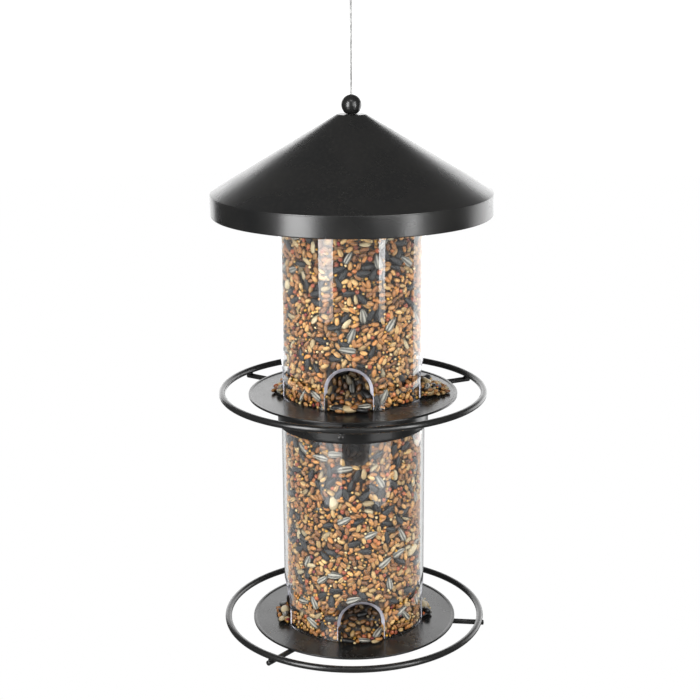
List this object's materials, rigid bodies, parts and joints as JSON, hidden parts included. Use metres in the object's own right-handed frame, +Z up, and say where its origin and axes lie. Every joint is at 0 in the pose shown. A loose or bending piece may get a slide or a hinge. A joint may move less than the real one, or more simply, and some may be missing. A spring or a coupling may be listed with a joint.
{
  "type": "hanging bird feeder",
  "caption": "Hanging seed feeder: stacked clear tubes full of mixed seed on round trays with wire perches, under a conical metal roof that slides up a steel cable.",
  "frame": {"origin": "the point at the top of the hanging loop, inside it, where a hook bears", "axes": "+Z up along the cable, -Y towards the front feeding arches, +X to the right seen from the front"},
  "size_m": [0.21, 0.21, 0.5563],
  "materials": {
    "tray_paint": "semi-gloss black enamel",
    "roof_paint": "semi-gloss black enamel",
    "clear_tube": "clear, polished, with polished arch edges",
    "seed": "loose mixed seed, matt",
    "cable": "bright stranded wire",
    "sleeve": "pressed, dull",
    "zinc": "zinc plated"
  },
  "bodies": {
    "feeder": {"bottom_tray": "tray_paint", "bottom_perch": "tray_paint", "bottom_spoke_1": "tray_paint", "bottom_spoke_2": "tray_paint", "bottom_spoke_3": "tray_paint", "bottom_lug_1": "tray_paint", "bottom_lug_2": "tray_paint", "bottom_lug_3": "tray_paint", "bottom_lug_4": "tray_paint", "lower_tube": "clear_tube", "lower_seed": "seed", "middle_tray": "tray_paint", "middle_collar": "tray_paint", "middle_perch": "tray_paint", "middle_spoke_1": "tray_paint", "middle_spoke_2": "tray_paint", "middle_spoke_3": "tray_paint", "middle_lug_1": "tray_paint", "middle_lug_2": "tray_paint", "middle_lug_3": "tray_paint", "middle_lug_4": "tray_paint", "upper_tube": "clear_tube", "upper_seed": "seed", "hanger_cable": "cable", "hanger_loop": "cable", "loop_sleeve": "sleeve", "anchor_washer": "zinc", "anchor_sleeve": "sleeve"},
    "finial": {"finial_ball": "roof_paint", "finial_washer": "zinc", "finial_nut": "zinc"},
    "roof": {"roof_cone": "roof_paint", "roof_rim": "roof_paint"}
  },
  "joints": [
    {"name": "roof_lift", "type": "slide", "parent": "feeder", "child": "finial", "axis": [0, 0, 1], "range_m": [0, 0.09]},
    {"name": "roof_turn", "type": "hinge", "parent": "finial", "child": "roof", "pos_m": [0, 0, -0.15344], "axis": [0, 0, 1], "continuous": true}
  ]
}
